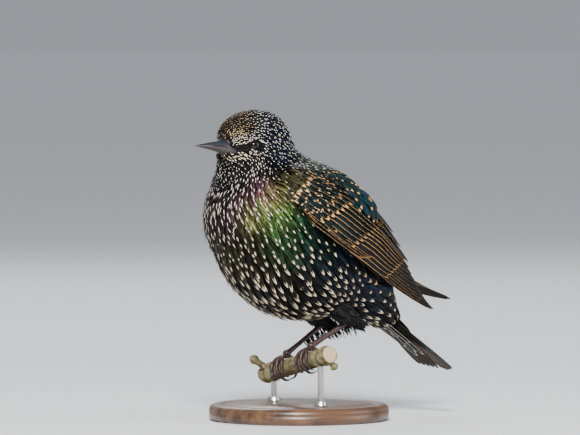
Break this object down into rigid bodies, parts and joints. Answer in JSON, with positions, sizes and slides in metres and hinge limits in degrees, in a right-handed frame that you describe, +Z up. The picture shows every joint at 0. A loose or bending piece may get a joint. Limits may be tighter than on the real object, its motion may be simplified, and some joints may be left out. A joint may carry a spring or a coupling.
{
  "type": "perched starling figure",
  "caption": "Life-size starling in fluffed winter plumage, its head turned a little to its left, gripping a short cut branch on a low display stand.",
  "frame": {"origin": "centre of the stand base's underside", "axes": "+Z up; the bird faces -X, so its left side is -Y and +Y is its right"},
  "size_m": [0.1743, 0.1, 0.1723],
  "materials": {
    "plumage": "glossy black body feathers, matt between",
    "spotted_head": "fine black feathers with pale tips",
    "flight_feathers": "smooth dark vanes with pale edges",
    "bill": "hard horn, satin",
    "eye": "polished, wet",
    "leg": "scaly skin, satin",
    "claw": "hard horn, satin",
    "bark": "rough young bark",
    "base_wood": "turned, oiled",
    "rod_metal": "brushed"
  },
  "bodies": {
    "root": {"head": "spotted_head", "neck": "spotted_head", "torso": "plumage", "tail": "flight_feathers", "bill_upper": "bill", "bill_lower": "bill", "perch_branch": "bark", "stand_rod_1": "rod_metal", "stand_rod_2": "rod_metal", "stand_base": "base_wood", "eye_left": "eye", "wing_left": "flight_feathers", "thigh_left": "plumage", "shank_left": "leg", "foot_left": "leg", "claw_left_inner": "claw", "claw_left_middle": "claw", "claw_left_outer": "claw", "claw_left_hind": "claw", "eye_right": "eye", "wing_right": "flight_feathers", "thigh_right": "plumage", "shank_right": "leg", "foot_right": "leg", "claw_right_inner": "claw", "claw_right_middle": "claw", "claw_right_outer": "claw", "claw_right_hind": "claw"}
  },
  "joints": []
}
